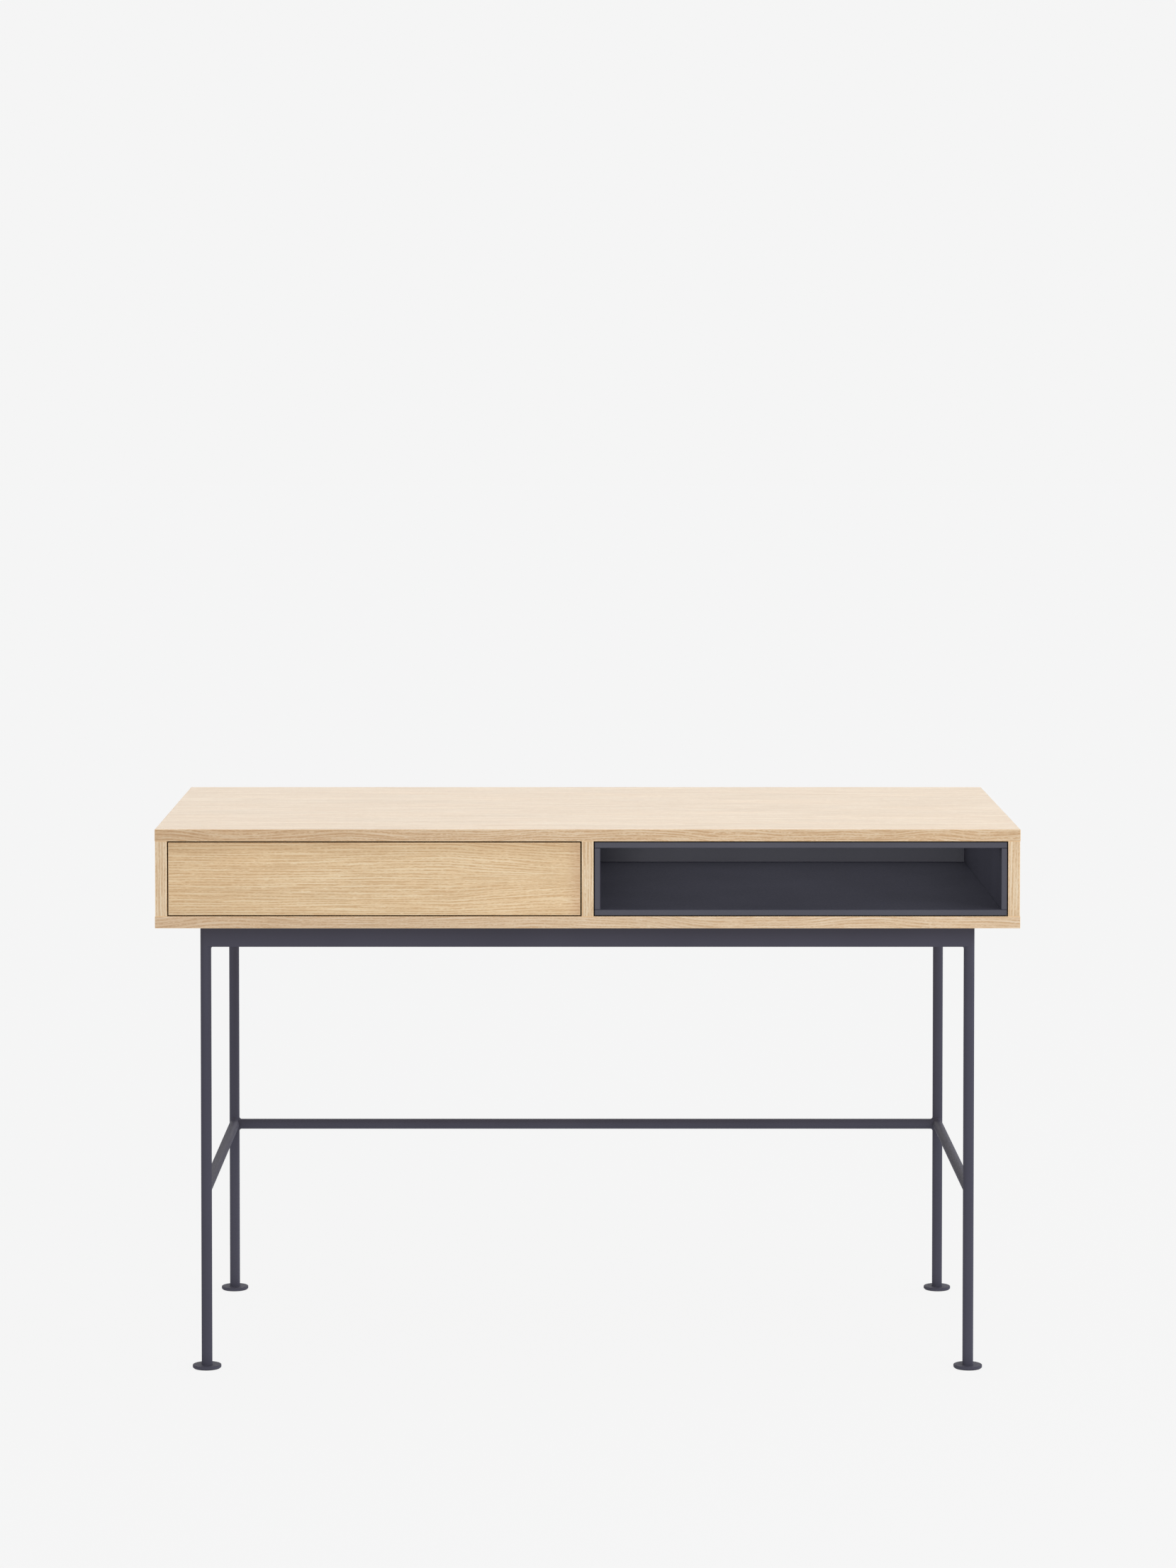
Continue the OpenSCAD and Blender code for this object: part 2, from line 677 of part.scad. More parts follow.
module frame_bolts() color(zinc) for (p = tab_spots) bolt_at(p) translate([0, 0, -tab_t]) {
    cylinder(d = bolt_d, h = bolt_l);
    difference() {
        translate([0, 0, -bolt_head_h]) cylinder(d = bolt_head_d, h = bolt_head_h);
        translate([0, 0, -bolt_head_h - cut]) cylinder(d = hex_key * 2 / sqrt(3), h = 2 + cut, $fn = 6);
    }
}

module threaded_inserts() color(brass) for (p = tab_spots) bolt_at(p) difference() {
    cylinder(d = insert_d, h = insert_l);
    translate([0, 0, -cut]) cylinder(d = bolt_d + 2 * fit_gap, h = insert_l + 2 * cut);
}

top_panel();
bottom_panel();
left_side_panel();
right_side_panel();
centre_divider();
back_panel();
carcass_dowels();
liner_top_board();
liner_bottom_board();
liner_left_board();
liner_right_board();
liner_back_board();
liner_spacers();
drawer_front();
drawer_box_front();
drawer_left_wall();
drawer_right_wall();
drawer_back_wall();
drawer_base();
drawer_dowels();
drawer_front_screws();
left_slide_cabinet_member();
left_slide_middle_member();
left_slide_drawer_member();
left_slide_outer_ball_cage();
left_slide_inner_ball_cage();
right_slide_cabinet_member();
right_slide_middle_member();
right_slide_drawer_member();
right_slide_outer_ball_cage();
right_slide_inner_ball_cage();
slide_cabinet_screws();
slide_drawer_screws();
push_latch_housing();
push_latch_plunger();
push_latch_magnet();
push_latch_spring();
push_latch_screws();
latch_strike_plate();
front_left_leg();
front_right_leg();
rear_left_leg();
rear_right_leg();
front_apron();
rear_apron();
left_apron();
right_apron();
rear_stretcher();
left_stretcher();
right_stretcher();
frame_welds();
frame_mounting_tabs();
frame_bolts();
threaded_inserts();
front_left_foot();
front_right_foot();
rear_left_foot();
rear_right_foot();
foot_pads();
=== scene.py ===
import math

import bmesh
import bpy
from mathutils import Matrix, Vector


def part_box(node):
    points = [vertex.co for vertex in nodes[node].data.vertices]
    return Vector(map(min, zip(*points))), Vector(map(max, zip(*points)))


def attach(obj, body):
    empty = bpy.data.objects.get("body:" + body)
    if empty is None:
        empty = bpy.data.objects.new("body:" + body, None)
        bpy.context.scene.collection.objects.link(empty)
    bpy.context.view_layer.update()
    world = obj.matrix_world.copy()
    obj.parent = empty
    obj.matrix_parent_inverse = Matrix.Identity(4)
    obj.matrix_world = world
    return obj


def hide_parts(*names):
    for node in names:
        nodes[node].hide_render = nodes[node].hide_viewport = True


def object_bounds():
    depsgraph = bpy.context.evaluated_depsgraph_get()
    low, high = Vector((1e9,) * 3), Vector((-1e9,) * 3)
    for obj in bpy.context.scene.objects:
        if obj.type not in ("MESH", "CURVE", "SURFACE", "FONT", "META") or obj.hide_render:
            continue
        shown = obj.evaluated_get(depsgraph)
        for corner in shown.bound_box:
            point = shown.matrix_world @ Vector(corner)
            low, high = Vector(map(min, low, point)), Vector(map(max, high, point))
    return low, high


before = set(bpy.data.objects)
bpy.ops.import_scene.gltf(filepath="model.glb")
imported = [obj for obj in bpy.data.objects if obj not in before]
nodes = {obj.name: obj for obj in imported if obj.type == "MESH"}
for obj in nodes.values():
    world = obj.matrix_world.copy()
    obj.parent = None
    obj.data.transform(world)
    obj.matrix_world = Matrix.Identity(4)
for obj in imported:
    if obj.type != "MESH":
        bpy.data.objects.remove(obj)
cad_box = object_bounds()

# The desk in the row frame: X runs along it, -Y is the front and +Z is up, in metres.
X, Y, Z = 0, 1, 2
UP = Vector((0.0, 0.0, 1.0))


# ---- Short calls for building a material's nodes ----

MIDDLE = 0.5           # a noise's mean
USUAL = (0.3, 0.7)     # where most of a noise's values lie
RARE = (0.60, 0.72)    # where only a noise's peaks lie


class Finish:
    """One procedural material. Every pattern is in the object's own coordinates, in metres."""

    def __init__(self, name):
        self.material = bpy.data.materials.new(name)
        self.material.use_nodes = True
        self.tree = self.material.node_tree
        self.tree.nodes.clear()
        self.place = self.add("ShaderNodeTexCoord").outputs["Object"]
        split = self.add("ShaderNodeSeparateXYZ")
        self.tree.links.new(self.place, split.inputs[0])
        self.axis = [split.outputs[i] for i in range(3)]

    def add(self, kind, **settings):
        node = self.tree.nodes.new(kind)
        for key, value in settings.items():
            setattr(node, key, value)
        return node

    def put(self, value, socket):
        """Links a socket to another node's, or sets it to a constant. A colour gets its alpha."""
        if isinstance(value, bpy.types.NodeSocket):
            self.tree.links.new(value, socket)
        elif isinstance(value, tuple):
            socket.default_value = (*value, 1.0)
        else:
            socket.default_value = value

    def math(self, operation, a, b=0.0, c=0.0):
        node = self.add("ShaderNodeMath", operation=operation)
        for value, socket in zip((a, b, c), node.inputs):
            self.put(value, socket)
        return node.outputs[0]

    def times(self, a, b):
        return self.math("MULTIPLY", a, b)

    def times_plus(self, a, b, c):
        return self.math("MULTIPLY_ADD", a, b, c)

    def centred(self, pattern):
        """How far a pattern lies above or below its middle."""
        return self.math("SUBTRACT", pattern, MIDDLE)

    def vector(self, x, y, z):
        node = self.add("ShaderNodeCombineXYZ")
        for value, socket in zip((x, y, z), node.inputs):
            self.put(value, socket)
        return node.outputs[0]

    def scaled(self, vector, scale):
        node = self.add("ShaderNodeMapping")
        self.put(vector, node.inputs["Vector"])
        node.inputs["Scale"].default_value = scale
        return node.outputs[0]

    def noise(self, vector, scale=1.0, detail=2.0, roughness=0.5):
        node = self.add("ShaderNodeTexNoise")
        self.put(vector, node.inputs["Vector"])
        self.put(scale, node.inputs["Scale"])
        self.put(detail, node.inputs["Detail"])
        self.put(roughness, node.inputs["Roughness"])
        return node.outputs[0]

    def spread(self, value, low, high, to_low=0.0, to_high=1.0, smooth=False):
        """Stretches the range from low to high onto to_low to to_high, and holds it there."""
        kind = "SMOOTHSTEP" if smooth else "LINEAR"
        node = self.add("ShaderNodeMapRange", interpolation_type=kind)
        for v, name in ((value, "Value"), (low, "From Min"), (high, "From Max"),
                        (to_low, "To Min"), (to_high, "To Max")):
            self.put(v, node.inputs[name])
        return node.outputs[0]

    def vary(self, noise, low=0.0, high=1.0):
        """A value that goes with a noise from low to high."""
        return self.spread(noise, *USUAL, low, high)

    def ramp(self, value, stops):
        node = self.add("ShaderNodeValToRGB")
        self.put(value, node.inputs[0])
        while len(node.color_ramp.elements) < len(stops):
            node.color_ramp.elements.new(1.0)
        for element, (position, colour) in zip(node.color_ramp.elements, stops):
            element.position = position
            element.color = (*colour, 1.0)
        return node.outputs[0]

    def mix(self, factor, a, b, blend="MIX"):
        node = self.add("ShaderNodeMix", data_type="RGBA", blend_type=blend)
        colour_a, colour_b, result = node.inputs[6], node.inputs[7], node.outputs[2]
        self.put(factor, node.inputs[0])
        self.put(a, colour_a)
        self.put(b, colour_b)
        return result

    def tint(self, colour, tint):
        return self.mix(1.0, colour, tint, "MULTIPLY")

    def bump(self, height, strength, distance):
        node = self.add("ShaderNodeBump")
        self.put(strength, node.inputs["Strength"])
        self.put(distance, node.inputs["Distance"])
        self.put(height, node.inputs["Height"])
        return node.outputs[0]

    def surface(self, colour, roughness, normal, **sockets):
        """The shader. A socket's name has _ for each space."""
        shader = self.add("ShaderNodeBsdfPrincipled")
        self.put(colour, shader.inputs["Base Color"])
        self.put(roughness, shader.inputs["Roughness"])
        self.put(normal, shader.inputs["Normal"])
        for name, value in sockets.items():
            shader.inputs[name.replace("_", " ")].default_value = value
        output = self.add("ShaderNodeOutputMaterial")
        self.tree.links.new(shader.outputs[0], output.inputs["Surface"])
        return self.material


def shade(colour, factor):
    return tuple(c * factor for c in colour)


# ---- Oak ----

OAK_DARK = (0.551, 0.356, 0.182)
OAK_MID = (0.640, 0.455, 0.265)
OAK_LIGHT = (0.715, 0.563, 0.374)
PLAIN = (1.0, 1.0, 1.0)    # a tint that changes nothing

# Where two numbers say how often a pattern changes per metre, the first is along the grain and
# the second across it.
WANDER_ACROSS = 7.0        # how often the growth lines' wander changes across them
WAVES = (14.0, 50.0)       # how often their small waves change
WAVE_DEPTH = 0.0016        # how far a wave moves a line
PATCHES = (5.0, 18.0)      # how often the tone changes from patch to patch
PORE = (0.006, 0.00035)    # a pore's length and width
SWAY_TURN = 13.0           # how far the sway turns the growth lines' phase, in radians
FAN_CORE = 0.014           # how near a fan's centre its lines close in no further


def fan_out(f, a, c, centre, start, slope):
    """Where a place lies across growth lines that close in on centre past start."""
    off = f.math("SUBTRACT", c, centre)
    closing = f.times(f.math("MAXIMUM", f.math("SUBTRACT", a, start), 0.0), slope)
    room = f.times_plus(off, off, FAN_CORE ** 2)
    return f.times(off, f.math("SQRT", f.math("ADD", f.math("DIVIDE", closing, room), 1.0)))


def oak(name, along, across, seed, fan=None, pitch=0.0042, run=0.05, contrast=1.0, banding=0.2,
        drift=(1.6, 0.016), tone=PLAIN, fades=()):
    """Lacquered oak veneer. Its growth lines run along one axis and follow each other across
    another, at a pitch; run is how far a streak goes before it changes. Drift is how often they
    wander along the board and how far. A fan is the centre, start and slope of lines that close
    in, as on a flat-sawn board. Each fade turns the colour along an axis, from nothing at its
    first place to a tint at its second, as painted shade or a painted highlight."""
    f = Finish(name)
    a, c = f.axis[along], f.axis[across]
    drift_often, drift_far = drift
    wander = f.noise(f.vector(f.times(a, drift_often), f.times(c, WANDER_ACROSS), seed),
                     detail=1.0)
    c = f.times_plus(f.centred(wander), drift_far, c)
    waves = f.noise(f.vector(f.times(a, WAVES[0]), f.times(c, WAVES[1]), seed))
    ring = f.times_plus(f.centred(waves), WAVE_DEPTH, fan_out(f, a, c, *fan) if fan else c)
    side = f.times_plus(c, 12.0, seed)

    def streaks(long, wide):
        """Streaks of a length and a width that follow the growth lines."""
        return f.noise(f.vector(f.times(a, 1 / long), f.times(ring, 1 / wide), side),
                       detail=1.0, roughness=0.55)

    sway = streaks(run * 5.0, pitch * 3.5)
    phase = f.times_plus(ring, math.tau / pitch, f.times(sway, SWAY_TURN))
    late = f.times_plus(f.math("SINE", phase), 0.5, 0.5)
    show = f.spread(streaks(run * 1.6, pitch), 0.32, 0.62, to_low=0.25)
    late_wood = f.times(f.math("SUBTRACT", MIDDLE, late), show)
    lines = f.centred(streaks(run * 1.5, pitch * 0.33))
    bands = f.centred(streaks(run * 2.5, pitch * 1.1))
    dashes = f.times(f.centred(streaks(run * 0.35, pitch * 0.32)), late)
    flecks = f.times(f.centred(streaks(run * 0.10, pitch * 0.30)), late)
    grain = MIDDLE
    for pattern, share in ((late_wood, 0.20), (lines, 0.40), (dashes, 0.50), (flecks, 0.55),
                           (bands, banding)):
        grain = f.times_plus(pattern, share, grain)

    half = 0.17 / contrast
    colour = f.ramp(f.spread(grain, MIDDLE - half, MIDDLE + half), (
        (0.0, OAK_DARK), (0.32, shade(OAK_MID, 0.94)), (0.60, shade(OAK_MID, 1.04)),
        (1.0, OAK_LIGHT)))
    patches = f.noise(f.vector(f.times(a, PATCHES[0]), f.times(c, PATCHES[1]), seed + 4.0))
    colour = f.tint(colour, f.mix(f.vary(patches), (0.955, 0.955, 0.935), (1.035, 1.03, 1.01)))
    pores = streaks(*PORE)
    colour = f.mix(f.spread(pores, *RARE, to_high=0.45), colour, shade(OAK_DARK, 0.75))
    colour = f.tint(colour, tone)
    # Painted light: each fade darkens the colour as painted shade or lightens it as a painted
    # highlight.
    for axis, clear, full, tint in fades:
        share = f.spread(f.axis[axis], clear, full, smooth=True)
        colour = f.tint(colour, f.mix(share, PLAIN, tint))
    height = f.math("SUBTRACT", grain, f.spread(pores, 0.60, 0.75, to_high=0.8))
    return f.surface(colour, f.vary(grain, 0.50, 0.40), f.bump(height, 0.25, 0.0003),
                     IOR=1.5, Coat_Weight=0.25, Coat_Roughness=0.25, Coat_IOR=1.5)


def painted_arris_highlight(axis, edge, inward, tint=(1.20, 1.21, 1.24)):
    """A painted highlight: the fade that lightens a face beside its arris, where a lit rounded
    edge would catch the light. Inward is 1 or -1, the way from the edge into the face."""
    starts, full = 0.0016, 0.0004
    return (axis, edge + inward * starts, edge + inward * full, tint)


def oak_upright_edge(panel):
    """The finish of an upright panel's front and back edges, with a painted highlight line by each
    arris.
    """
    low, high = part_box(panel)
    return oak("oak_edge_of_" + panel, Z, X, 15.8, pitch=0.0040, run=0.04, contrast=1.6,
               tone=(1.0, 1.03, 1.10), fades=(painted_arris_highlight(X, low.x, 1), painted_arris_highlight(X, high.x, -1)))


desk_left = cad_box[0][X]
oak_top = oak("oak_top_face", X, Y, 3.1, pitch=0.0046, run=0.07, contrast=1.25, banding=0.30)
oak_under = oak("oak_under_face", X, Y, 8.6, contrast=1.3)
oak_side = oak("oak_side_face", Y, Z, 12.3, contrast=1.3)
oak_back = oak("oak_back_face", X, Z, 18.4, contrast=1.3)
oak_end = oak("oak_end_edge", Y, Z, 9.9, run=0.04, contrast=1.5, drift=(4.0, 0.040),
              tone=(0.93, 0.90, 0.90))
# A lighter oak on the rounded edges of the boards: a painted highlight.
arris_painted_highlight = oak("oak_rounded_edge_painted_highlight", X, Z, 26.5, run=0.03, contrast=0.9, tone=(1.20, 1.19, 1.18))

top_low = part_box("top_panel")[0]
# Its fades are painted light: painted shade towards the desk's left end and a painted highlight by
# its lower arris.
oak_long_edge = oak(
    "oak_long_edge", X, Z, 5.4, pitch=0.0038, run=0.035, contrast=1.8, drift=(5.0, 0.045),
    tone=(0.91, 0.88, 0.88), fades=(
        (X, desk_left + 0.50, desk_left, (0.90, 0.85, 0.78)),
        painted_arris_highlight(Z, top_low.z, 1, (1.15, 1.17, 1.20))))

base_low, base_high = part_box("bottom_panel")
# Its fades are painted light: painted shade towards the desk's left end and painted highlights by
# its upper and lower arrises.
oak_low_edge = oak(
    "oak_low_edge", X, Z, 21.7, pitch=0.0040, run=0.032, contrast=1.25, drift=(4.0, 0.050),
    tone=(0.975, 0.985, 1.065), fades=(
        (X, desk_left + 0.70, desk_left, (0.88, 0.83, 0.77)),
        painted_arris_highlight(Z, base_high.z, -1, (1.30, 1.36, 1.48)),
        painted_arris_highlight(Z, base_low.z, 1, (1.10, 1.12, 1.15))))

front_low, front_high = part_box("drawer_front")
front_fan = (front_high.z - 0.0487, front_high.x - 0.18, 0.0052)
# Its fades are painted shade: the front darkens towards its top, its bottom and both ends, most
# under the top panel and by the divider.
oak_front = oak(
    "oak_drawer_front", X, Z, 2.2, fan=front_fan, pitch=0.0040, contrast=1.45,
    tone=(1.05, 1.045, 1.01), fades=(
        (Z, front_high.z - 0.026, front_high.z, (0.86, 0.81, 0.74)),
        (Z, front_low.z + 0.012, front_low.z, (0.93, 0.91, 0.88)),
        (X, front_high.x - 0.024, front_high.x, (0.87, 0.81, 0.79)),
        (X, front_low.x + 0.20, front_low.x, (0.93, 0.90, 0.86))))


# ---- Birch and beech ----

def birch(name, along, across, seed):
    """Rotary-cut birch: soft wide figure, with fine lines and short flecks on it."""
    f = Finish(name)
    a, c = f.axis[along], f.axis[across]

    def streaks(long, wide, detail):
        return f.noise(f.vector(f.times(a, 1 / long), f.times(c, 1 / wide), seed),
                       detail=detail, roughness=0.6)

    figure = streaks(0.16, 0.011, 2.0)
    lines = streaks(0.07, 0.0014, 2.0)
    flecks = streaks(0.007, 0.0006, 1.0)
    grain = f.times_plus(f.centred(lines), 0.6, f.times(figure, 0.7))
    colour = f.ramp(f.spread(grain, 0.22, 0.48), (
        (0.0, (0.60, 0.44, 0.27)), (0.5, (0.70, 0.54, 0.35)), (1.0, (0.77, 0.62, 0.43))))
    colour = f.mix(f.spread(flecks, *RARE, to_high=0.35), colour, (0.50, 0.34, 0.19))
    return f.surface(colour, f.vary(lines, 0.5, 0.42), f.bump(flecks, 0.12, 0.0002), IOR=1.48)


def ply_edge(name, across, start, layer):
    """The edge of a plywood wall: its layers follow each other across one axis from start, and
    show their long grain and their end grain by turns."""
    f = Finish(name)
    pair = 2 * layer
    share = f.math("FRACT", f.math("DIVIDE", f.math("SUBTRACT", f.axis[across], start), pair))
    blur = f.noise(f.place, scale=300.0, detail=3.0)
    share = f.times_plus(f.centred(blur), 0.10, share)
    cross = f.times(f.spread(share, 0.44, 0.52), f.spread(share, 0.90, 0.98, 1.0, 0.0))
    fibre = f.noise(f.place, scale=900.0)
    long_grain = f.mix(fibre, (0.66, 0.49, 0.31), (0.76, 0.60, 0.41))
    end_grain = f.mix(fibre, (0.40, 0.26, 0.14), (0.52, 0.36, 0.20))
    return f.surface(f.mix(cross, long_grain, end_grain), f.vary(fibre, 0.5, 0.62),
                     f.bump(fibre, 0.15, 0.0002), IOR=1.48)


birch_x = birch("birch_face_x", X, Z, 1.7)
birch_y = birch("birch_face_y", Y, Z, 6.1)
birch_flat = birch("birch_base_face", X, Y, 11.5)
beech = birch("beech_dowel", Z, X, 14.2)


# ---- Paint, metal, plastic and rubber ----

def liner_finish(name, base):
    """Sprayed paint with a fine speckle."""
    f = Finish(name)
    speckle = f.noise(f.place, scale=420.0, detail=3.0)
    haze = f.noise(f.place, scale=9.0)
    colour = f.mix(f.vary(haze), shade(base, 0.93), shade(base, 1.07))
    return f.surface(colour, f.vary(speckle, 0.42, 0.52), f.bump(speckle, 0.10, 0.0002), IOR=1.45)


def powder_coat(name, base):
    """Matt powder coat: a fine peel, with lighter grit on it."""
    f = Finish(name)
    peel = f.noise(f.place, scale=900.0)
    grit = f.noise(f.place, scale=2600.0, detail=1.0)
    haze = f.noise(f.place, scale=6.0)
    colour = f.mix(f.vary(haze), shade(base, 0.94), shade(base, 1.06))
    colour = f.mix(f.spread(grit, 0.62, 0.75, to_high=0.35), colour, shade(base, 1.8))
    height = f.times_plus(grit, 0.4, peel)
    return f.surface(colour, f.vary(peel, 0.60, 0.72), f.bump(height, 0.18, 0.0002),
                     IOR=1.45, Specular_IOR_Level=0.25)


def metal(name, base, low, high, along=Y):
    """Metal with fine rolling lines along one axis. Low and high are its roughness."""
    f = Finish(name)
    lines_across, lines_along = 700.0, 12.0
    scale = [lines_across] * 3
    scale[along] = lines_along
    lines = f.noise(f.scaled(f.place, tuple(scale)), detail=3.0)
    bloom = f.noise(f.place, scale=35.0, detail=3.0)
    colour = f.mix(f.vary(bloom), shade(base, 0.90), shade(base, 1.05))
    rough = f.math("ADD", f.vary(lines, low, high), f.vary(bloom, high=0.06))
    return f.surface(colour, rough, f.bump(lines, 0.12, 0.0001), Metallic=1.0)


def moulded(name, base, low, high):
    """Moulded plastic or rubber with a fine grain. Low and high are its roughness."""
    f = Finish(name)
    grain = f.noise(f.place, scale=1400.0)
    haze = f.noise(f.place, scale=40.0)
    colour = f.mix(f.vary(haze), shade(base, 0.94), shade(base, 1.05))
    return f.surface(colour, f.vary(grain, low, high), f.bump(grain, 0.2, 0.0002), IOR=1.46)


liner = liner_finish("liner_paint", (0.0525, 0.0525, 0.0710))
frame_coat = powder_coat("frame_powder_coat", (0.0592, 0.0577, 0.0808))
zinc = metal("zinc_plated_steel", (0.62, 0.64, 0.66), 0.26, 0.38)
# Painted shade: a near-black steel for the slide members' front and back ends, which keeps them
# dark in the gap beside the drawer front.
zinc_cut = metal("zinc_cut_end", (0.075, 0.070, 0.065), 0.55, 0.70)
brass = metal("insert_brass", (0.78, 0.58, 0.26), 0.28, 0.40, along=Z)
latch_grey = moulded("latch_plastic", (0.26, 0.27, 0.29), 0.38, 0.5)
plunger_white = moulded("plunger_plastic", (0.80, 0.80, 0.78), 0.30, 0.42)
rubber = moulded("black_rubber", (0.022, 0.022, 0.024), 0.65, 0.8)


# ---- The CAD nodes' finishes ----

FLAT = 0.985    # a face whose normal has less than this along every axis is on a rounded edge


def finish_node(name, default, by_axis=None, arris=None):
    """Gives a node its finishes: one for the faces across each axis, where by_axis says so, and
    one for the rounded edges between them."""
    mesh = nodes[name].data
    mesh.materials.clear()
    mesh.materials.append(default)
    if not by_axis:
        mesh.polygons.foreach_set("material_index", [0] * len(mesh.polygons))
        return
    index = {}
    for axis, material in by_axis.items():
        mesh.materials.append(material)
        index[axis] = len(mesh.materials) - 1
    if arris:
        mesh.materials.append(arris)
    picks = []
    for polygon in mesh.polygons:
        strength = [abs(n) for n in polygon.normal]
        if arris and max(strength) < FLAT:
            picks.append(len(mesh.materials) - 1)
        else:
            picks.append(index.get(strength.index(max(strength)), 0))
    mesh.polygons.foreach_set("material_index", picks)


# The oak boards' rounded edges take the painted highlight.
finish_node("top_panel", oak_top, {X: oak_end, Y: oak_long_edge}, arris_painted_highlight)
finish_node("bottom_panel", oak_under, {X: oak_end, Y: oak_low_edge}, arris_painted_highlight)
for name in ("left_side_panel", "right_side_panel", "centre_divider"):
    finish_node(name, oak_side, {Y: oak_upright_edge(name)}, arris_painted_highlight)
finish_node("back_panel", oak_back, {Z: oak_under}, arris_painted_highlight)
finish_node("drawer_front", oak_front, {X: oak_end, Z: oak_end}, arris_painted_highlight)

for side in ("top", "bottom", "left", "right", "back"):
    finish_node("liner_" + side + "_board", liner)

PLY_LAYERS = 9
for name, thin, long, face in (
        ("drawer_left_wall", X, Y, birch_y), ("drawer_right_wall", X, Y, birch_y),
        ("drawer_box_front", Y, X, birch_x), ("drawer_back_wall", Y, X, birch_x)):
    low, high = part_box(name)
    edge = ply_edge(name + "_ply", thin, low[thin], (high[thin] - low[thin]) / PLY_LAYERS)
    finish_node(name, face, {Z: edge, long: edge})
finish_node("drawer_base", birch_flat)
finish_node("carcass_dowels", beech)
finish_node("drawer_dowels", beech)

for name in nodes:
    if name.endswith("_member"):
        # Their front and back ends take the painted shade.
        finish_node(name, zinc, {Y: zinc_cut})
    elif ("slide" in name or name.endswith(("_screws", "_bolts"))
            or name in ("push_latch_spring", "latch_strike_plate")):
        finish_node(name, zinc)
    elif name.endswith(("_leg", "_apron", "_stretcher", "_foot", "_welds", "_tabs")):
        finish_node(name, frame_coat)
finish_node("threaded_inserts", brass)
finish_node("push_latch_housing", latch_grey)
finish_node("push_latch_plunger", plunger_white)
for name in ("push_latch_magnet", "liner_spacers", "foot_pads"):
    finish_node(name, rubber)


# ---- Weld beads ----

BEAD = 0.0034           # the fillets' radius
BEAD_LEAST = 0.0002     # the radius below which a fillet ends
BEAD_TRIM = 0.0001      # how much smaller the beads along X are, so that neighbours share no edge
SUNK = 0.0008           # how far the beads reach into the tubes that they join
BEAD_FACETS = 6         # facets across a bead
APRON_TURN = math.radians(56)   # how far a bead under an apron goes round the leg, to each side
APRON_STEPS = 16        # steps in that turn
APRON_HALF = 0.0068     # how far a bead under an apron may go to the side and stay under it
STRETCHER_STEPS = 32    # steps round one half of a stretcher's joint


def bead_arc(centre, start, end):
    """Points on the small round between two directions from the centre."""
    return [centre + start.lerp(end, k / BEAD_FACETS).normalized() * start.length
            for k in range(BEAD_FACETS + 1)]


def apron_bead(base, out, side, tube_r):
    """The rings of the fillet in the corner of a leg and an apron's underside."""
    rings = []
    for k in range(-APRON_STEPS, APRON_STEPS + 1):
        turn = APRON_TURN * k / APRON_STEPS
        r = BEAD
        if k:
            r = min(BEAD, APRON_HALF / abs(math.sin(turn)) - tube_r)
        if r <= BEAD_LEAST:
            continue
        outward = out * math.cos(turn) + side * math.sin(turn)
        round_centre = base + outward * (tube_r + r) - UP * r
        inner = base + outward * (tube_r - SUNK)
        outer = base + outward * (tube_r + r)
        rings.append(bead_arc(round_centre, UP * r, -outward * r)
                     + [inner - UP * r, inner + UP * SUNK, outer + UP * SUNK])
    return rings


def stretcher_bead(base, out, side, half, tube_r, r):
    """The rings of the fillet round one half of a stretcher's joint with a leg, 1 or -1 for the
    upper or the lower half."""
    rings = []
    for k in range(1, STRETCHER_STEPS):
        t = math.pi * k / STRETCHER_STEPS
        c, s = math.cos(t), math.sin(t)
        way = out * s + side * c + UP * half * s
        to_tube = (-side * c - UP * half * s) * r
        to_leg = (-out * s - side * c) * r
        root = base + way * (tube_r - SUNK)
        rings.append(bead_arc(base + way * (tube_r + r), to_tube, to_leg) + [root])
    return rings


def ring_strip(mesh, rings):
    """A closed skin over a row of rings."""
    loops = [[mesh.verts.new(p) for p in ring] for ring in rings]
    for first, second in zip(loops, loops[1:]):
        for i in range(len(first)):
            j = (i + 1) % len(first)
            mesh.faces.new((first[i], first[j], second[j], second[i]))
    mesh.faces.new(list(reversed(loops[0])))
    mesh.faces.new(loops[-1])


def weld_beads(name):
    """The fillets of weld where the tubes meet the legs, as one piece."""
    mesh = bmesh.new()
    apron_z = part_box("front_apron")[0].z
    stretcher_low, stretcher_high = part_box("rear_stretcher")
    stretcher_z = (stretcher_low.z + stretcher_high.z) / 2
    tube_r = (stretcher_high.z - stretcher_low.z) / 2
    for leg in ("front_left_leg", "front_right_leg", "rear_left_leg", "rear_right_leg"):
        low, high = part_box(leg)
        leg_axis = (low + high) / 2
        to_x = Vector((-math.copysign(1, leg_axis.x), 0, 0))
        to_y = Vector((0, -math.copysign(1, leg_axis.y), 0))
        for out, side, r in ((to_x, to_y, BEAD - BEAD_TRIM), (to_y, to_x, BEAD)):
            base = Vector((leg_axis.x, leg_axis.y, apron_z))
            ring_strip(mesh, apron_bead(base, out, side, tube_r))
            if out is to_x and leg.startswith("front"):
                continue  # no stretcher joins the front legs
            base = Vector((leg_axis.x, leg_axis.y, stretcher_z))
            for half in (1, -1):
                ring_strip(mesh, stretcher_bead(base, out, side, half, tube_r, r))
    bmesh.ops.recalc_face_normals(mesh, faces=mesh.faces)
    data = bpy.data.meshes.new(name)
    mesh.to_mesh(data)
    mesh.free()
    data.polygons.foreach_set("use_smooth", [True] * len(data.polygons))
    data.materials.append(frame_coat)
    piece = bpy.data.objects.new(name, data)
    bpy.context.scene.collection.objects.link(piece)
    return piece


welds = weld_beads("weld_beads")
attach(welds, "cabinet")
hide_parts("frame_welds")


# ---- Floor and backdrop ----

scene = bpy.context.scene
scene.view_settings.view_transform = "Standard"


def floor_mesh(mesh):
    bmesh.ops.create_grid(mesh, x_segments=2, y_segments=2, size=40.0)


def backdrop_mesh(mesh):
    bmesh.ops.create_icosphere(mesh, subdivisions=3, radius=60.0)


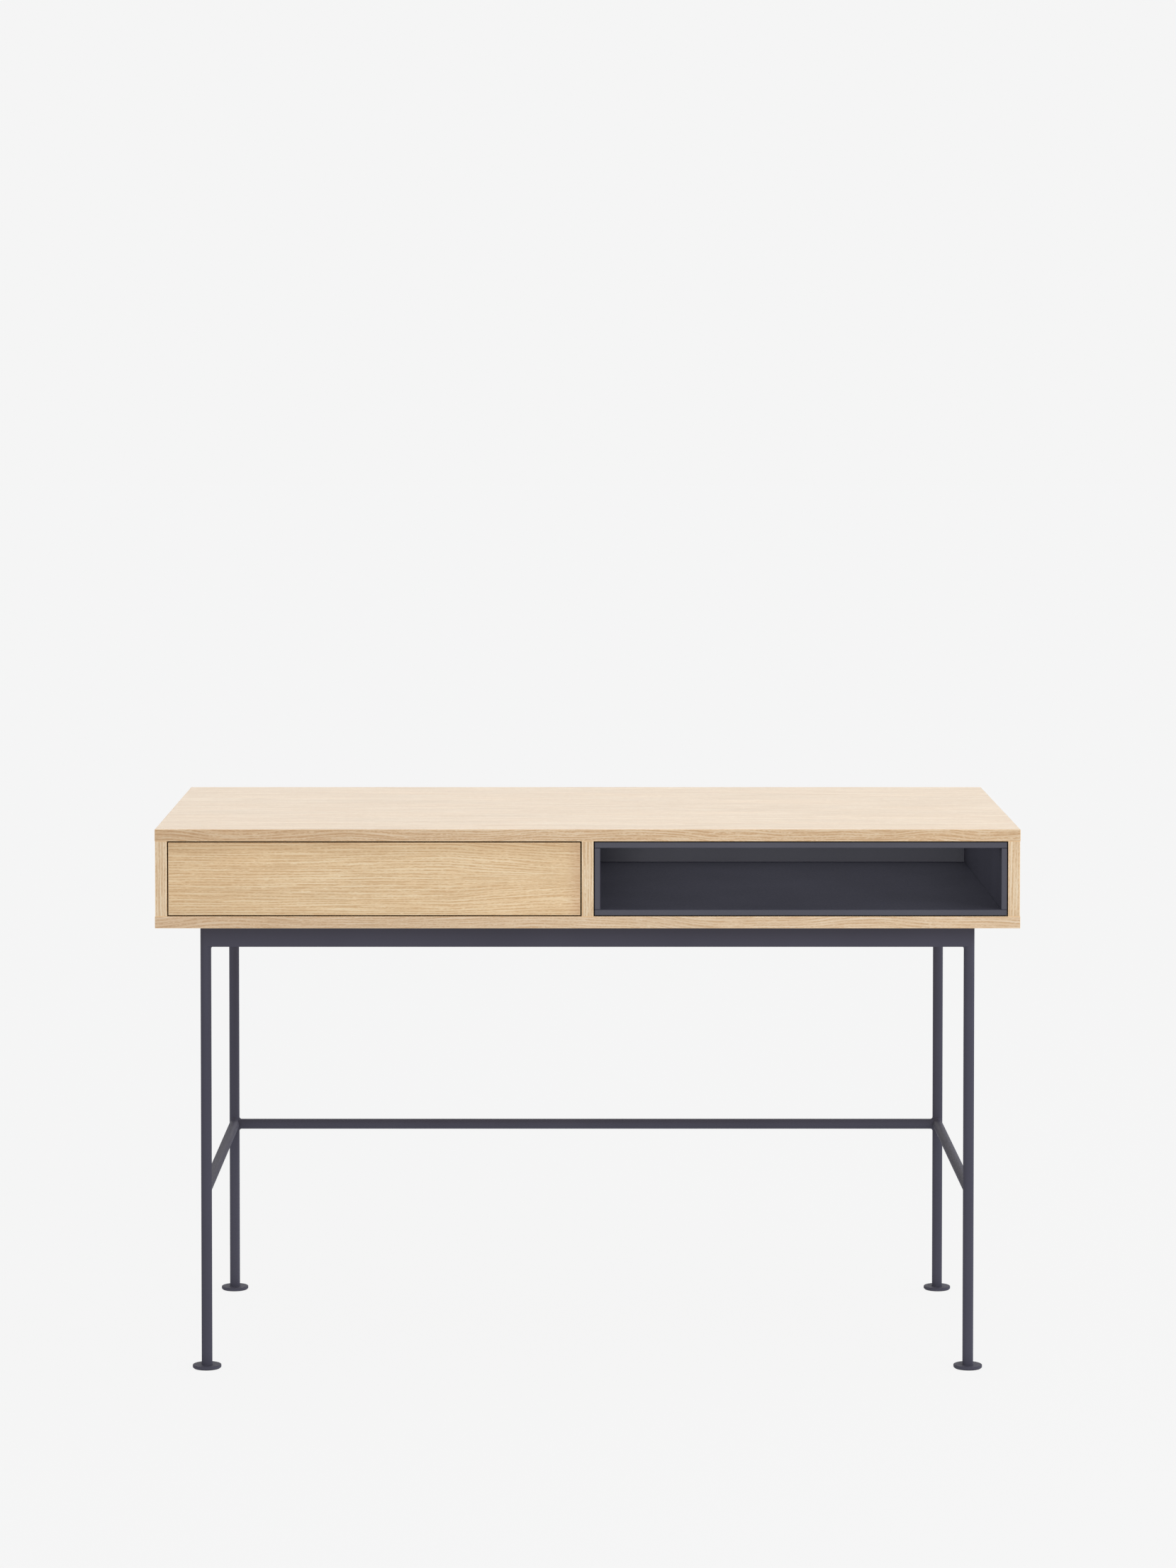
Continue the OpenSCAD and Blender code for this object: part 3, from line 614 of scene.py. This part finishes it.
def stage_piece(name, make, base, glow):
    """A stage piece that shows in the picture and neither lights the object nor shades it."""
    mesh = bmesh.new()
    make(mesh)
    data = bpy.data.meshes.new(name)
    mesh.to_mesh(data)
    mesh.free()
    material = bpy.data.materials.new("studio_" + name)
    material.use_nodes = True
    shader = material.node_tree.nodes["Principled BSDF"]
    shader.inputs["Base Color"].default_value = (base, base, base, 1.0)
    shader.inputs["Roughness"].default_value = 1.0
    shader.inputs["Specular IOR Level"].default_value = 0.0
    shader.inputs["Emission Color"].default_value = (1.0, 1.0, 1.0, 1.0)
    shader.inputs["Emission Strength"].default_value = glow
    data.materials.append(material)
    piece = bpy.data.objects.new(name, data)
    scene.collection.objects.link(piece)
    piece.visible_diffuse = False
    piece.visible_glossy = False
    piece.visible_transmission = False
    piece.visible_shadow = False
    return piece


floor = stage_piece("floor", floor_mesh, base=0.04, glow=0.878)
floor.location.z = -0.0002  # just below the feet, so that the two don't share a plane
stage_piece("backdrop", backdrop_mesh, base=0.0, glow=0.913)


# ---- Light ----

def sun(name, azimuth, elevation, strength, angle, colour=(1.0, 1.0, 1.0), glossy=True):
    """A soft distant light. Azimuth 0 comes from the front (-Y), 90 from the right (+X)."""
    data = bpy.data.lights.new(name, "SUN")
    data.energy = strength
    data.angle = math.radians(angle)
    data.color = colour
    lamp = bpy.data.objects.new(name, data)
    a, e = math.radians(azimuth), math.radians(elevation)
    toward = Vector((math.sin(a) * math.cos(e), -math.cos(a) * math.cos(e), math.sin(e)))
    lamp.rotation_mode = "QUATERNION"
    lamp.rotation_quaternion = toward.to_track_quat("Z", "Y")
    lamp.visible_glossy = glossy
    scene.collection.objects.link(lamp)


def softbox(name, place, target, size, radiance):
    """A square light that faces a point. Neither it nor its reflection is seen, only its light."""
    data = bpy.data.lights.new(name, "AREA")
    data.shape = "SQUARE"
    data.size = size
    data.energy = radiance * math.pi * size ** 2
    lamp = bpy.data.objects.new(name, data)
    lamp.location = place
    lamp.rotation_mode = "QUATERNION"
    lamp.rotation_quaternion = (place - target).to_track_quat("Z", "Y")
    lamp.visible_camera = False
    lamp.visible_glossy = False
    scene.collection.objects.link(lamp)


world = bpy.data.worlds.new("studio")
scene.world = world
world.use_nodes = True
world.node_tree.nodes["Background"].inputs["Color"].default_value = (0.720, 0.722, 0.730, 1.0)
world.node_tree.nodes["Background"].inputs["Strength"].default_value = 1.0

sun("front_fill", azimuth=-3, elevation=3.5, strength=0.44, angle=9)
sun("side", azimuth=105, elevation=15, strength=1.3, angle=30, colour=(0.92, 0.96, 1.0),
    glossy=False)
sun("back", azimuth=178, elevation=24, strength=0.40, angle=44)
front_middle = Vector((0.0, front_low.y, (front_low.z + front_high.z) / 2))
softbox("key", Vector((2.6, -3.0, 2.2)), front_middle, size=1.6, radiance=5.9)

# The niche's own weak light lies just under its top board and shines down.
liner_low, liner_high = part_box("liner_top_board")
niche_top = (liner_low + liner_high) / 2
niche_top.z = liner_low.z - 0.0008
softbox("niche_light", niche_top, niche_top - UP, size=0.54, radiance=0.98)


# ---- Camera ----

camera_data = bpy.data.cameras.new("camera")
camera_data.sensor_width = 36.0
camera_data.lens = 102.66
camera_data.shift_x = 0.01209
camera_data.shift_y = -0.17
camera_down = math.radians(2.163)
camera = bpy.data.objects.new("camera", camera_data)
camera.location = (-0.0257, -6.4743, 1.4259)
camera.rotation_euler = (math.pi / 2 - camera_down, 0.0, 0.0)
scene.collection.objects.link(camera)
scene.camera = camera
